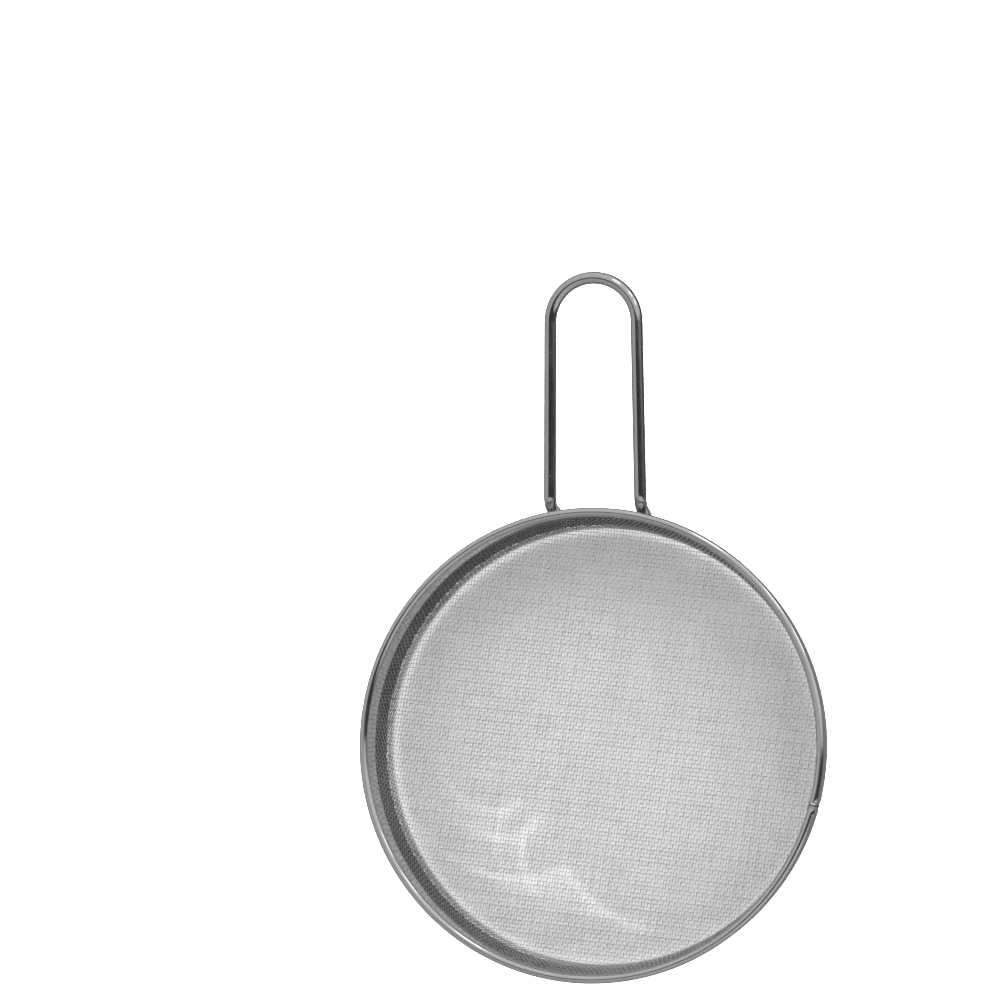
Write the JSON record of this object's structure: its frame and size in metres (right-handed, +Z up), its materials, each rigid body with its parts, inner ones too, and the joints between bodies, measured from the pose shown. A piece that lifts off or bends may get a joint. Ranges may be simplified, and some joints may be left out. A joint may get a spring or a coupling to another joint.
{
  "type": "wire mesh strainer",
  "caption": "Flat-bottomed round wire-mesh strainer: steel rim band rolled over the edge of a fine mesh pan on a coarse support mesh, with a bent wire loop handle.",
  "frame": {"origin": "centre of the pan's flat underside, which the strainer rests on", "axes": "+Z up, out of the open pan; +Y from the pan axis along the handle"},
  "size_m": [0.16, 0.24, 0.0292],
  "materials": {
    "rim_steel": "polished",
    "core_steel": "satin",
    "fine_cloth": "satin",
    "support_cloth": "satin",
    "handle_steel": "polished",
    "weld": "matte"
  },
  "bodies": {
    "root": {"rim_band": "rim_steel", "rim_core_wire": "core_steel", "fine_mesh": "fine_cloth", "support_mesh": "support_cloth", "handle": "handle_steel", "handle_welds": "weld", "seam_weld": "weld"}
  },
  "joints": []
}
